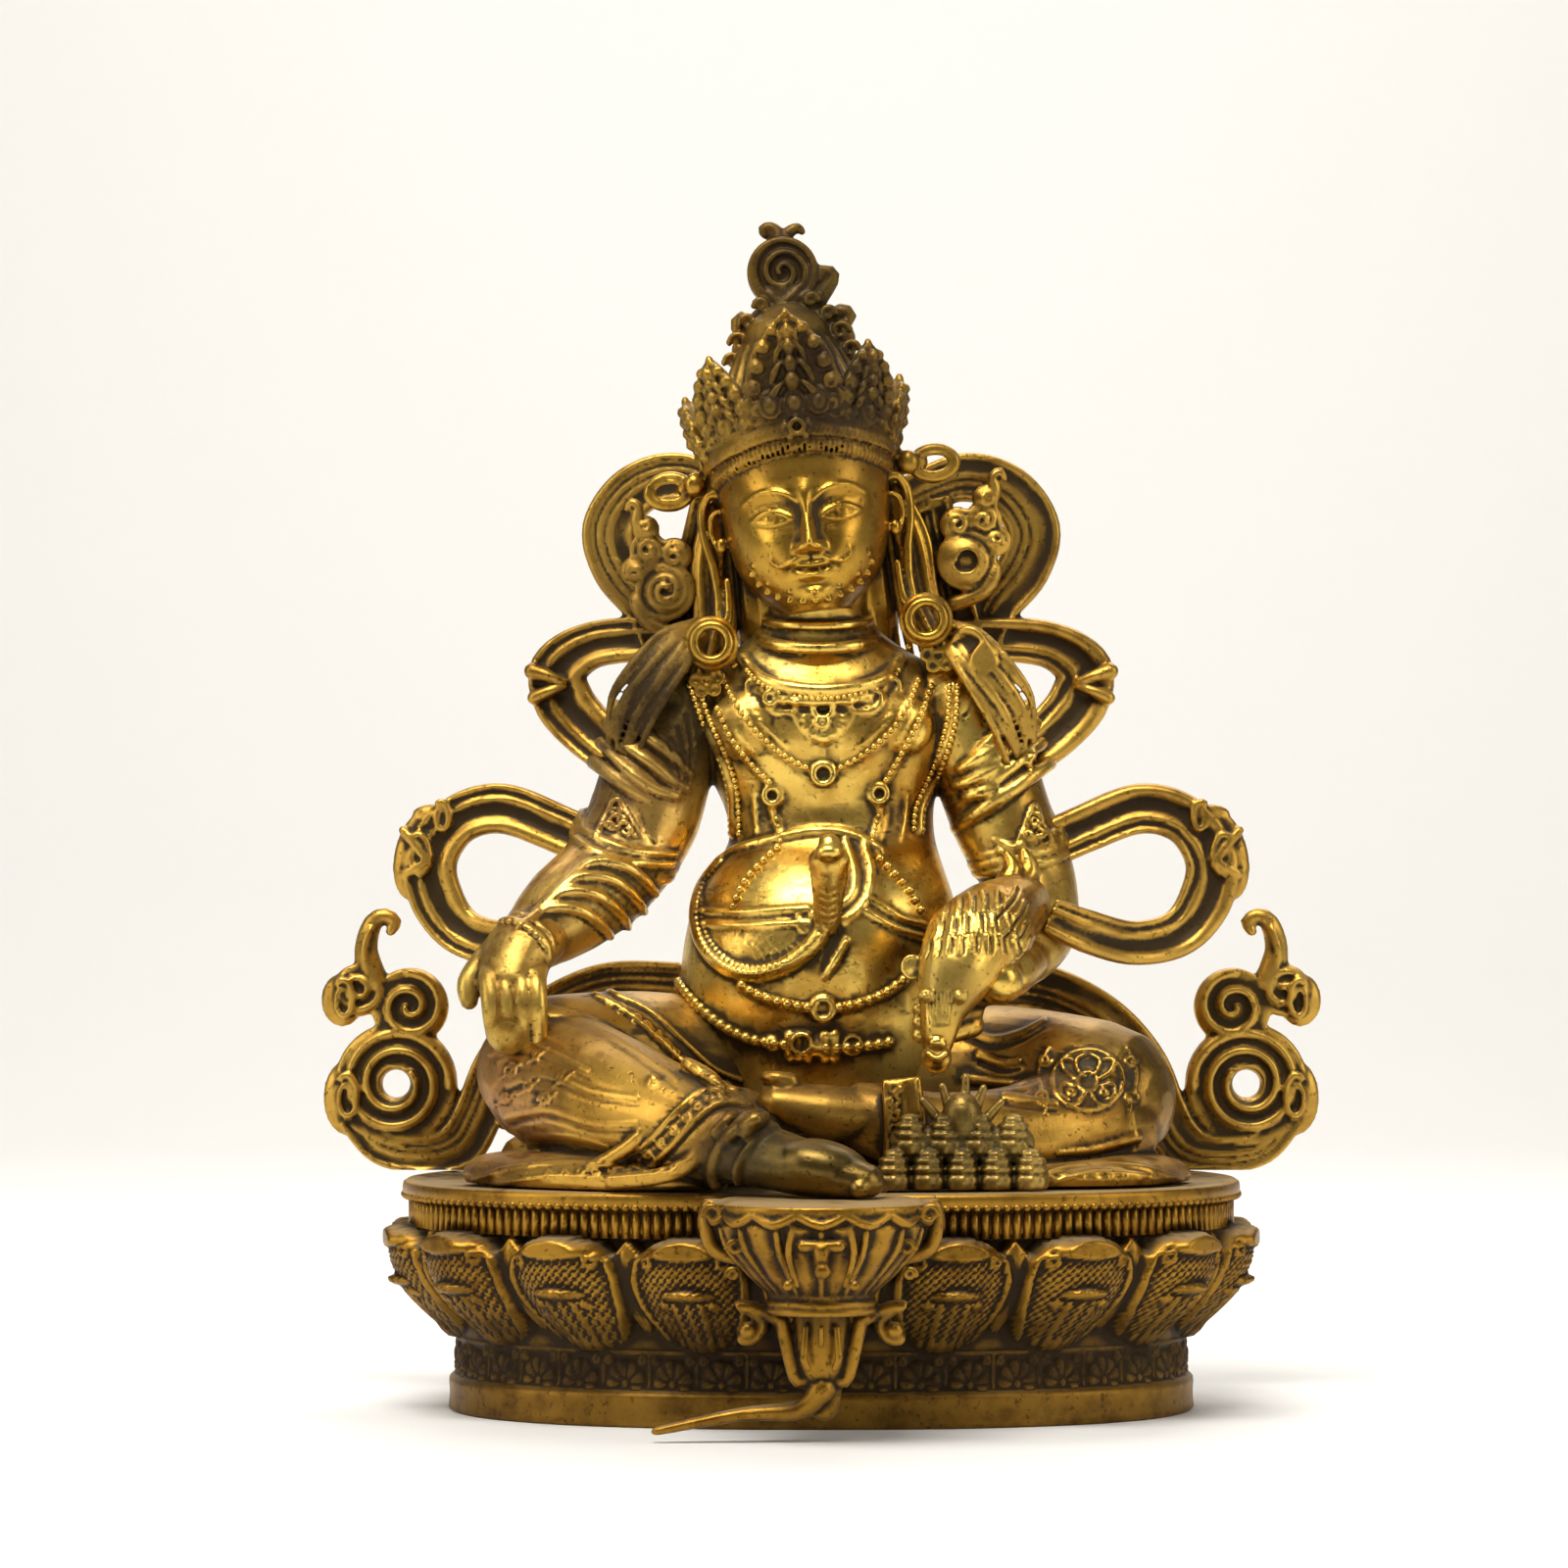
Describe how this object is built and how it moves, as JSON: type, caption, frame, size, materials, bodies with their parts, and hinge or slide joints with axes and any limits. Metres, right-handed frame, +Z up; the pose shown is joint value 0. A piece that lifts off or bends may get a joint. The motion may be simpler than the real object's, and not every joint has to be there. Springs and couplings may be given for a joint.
{
  "type": "wealth god statue",
  "caption": "Cast and gilt figure of a crowned wealth god at royal ease with a mongoose that pours out jewels, on an oval lotus throne",
  "frame": {"origin": "centre of the flat underside of the throne", "axes": "+Z up, -Y towards the viewer that the figure faces, +X to the viewer's right"},
  "size_m": [0.1867, 0.1369, 0.2176],
  "materials": {
    "throne_gilt": "worn gilding over brown patina",
    "bracket_gilt": "worn gilding over brown patina",
    "jewel_patina": "greenish patina, worn bright on top",
    "figure_gilt": "burnished gilding, brown in the hollows"
  },
  "bodies": {
    "root": {"lotus_throne": "throne_gilt", "foot_lotus": "bracket_gilt", "jewel_pile": "jewel_patina", "seated_figure": "figure_gilt"}
  },
  "joints": []
}
